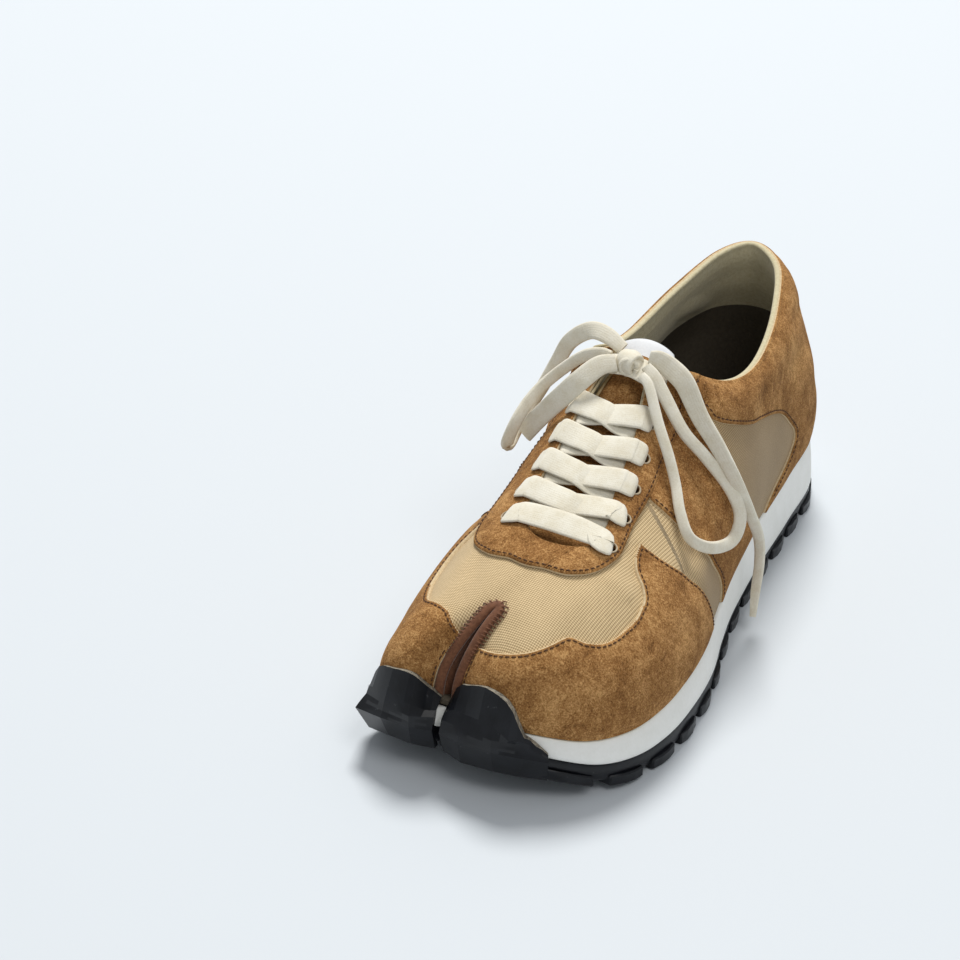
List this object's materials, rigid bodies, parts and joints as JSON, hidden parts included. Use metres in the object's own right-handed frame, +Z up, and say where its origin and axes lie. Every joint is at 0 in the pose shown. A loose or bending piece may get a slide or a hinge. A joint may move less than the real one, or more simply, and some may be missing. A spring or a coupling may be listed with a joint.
{
  "type": "split-toe trainer",
  "caption": "Low split-toe trainer for the left foot: canvas upper with suede panels, laced in a bow, white foam midsole and black rubber tread with toe flaps.",
  "frame": {"origin": "middle of the outsole's box, on the floor", "axes": "+Z up, toe towards -Y, heel towards +Y, outer side of the left foot towards +X"},
  "size_m": [0.1085, 0.2697, 0.1089],
  "materials": {
    "suede": "napped suede",
    "canvas": "woven canvas",
    "foam": "smooth foam",
    "rubber": "matt moulded rubber",
    "footbed": "matt lining",
    "lace": "flat cotton lace",
    "binding": "smooth leather piping"
  },
  "bodies": {
    "root": {"upper": "canvas", "toe_guard_lateral": "suede", "toe_guard_medial": "suede", "eyestay": "suede", "heel_panel": "suede", "side_strap_lateral": "suede", "side_strap_medial": "suede", "tongue": "suede", "cleft_binding": "binding", "midsole": "foam", "outsole": "rubber", "insole": "footbed", "lace_row_1": "lace", "lace_row_2": "lace", "lace_row_3": "lace", "lace_row_4": "lace", "lace_row_5": "lace", "lace_knot": "lace", "lace_loop_lateral": "lace", "lace_loop_medial": "lace", "lace_end_lateral": "lace", "lace_end_medial": "lace"}
  },
  "joints": []
}
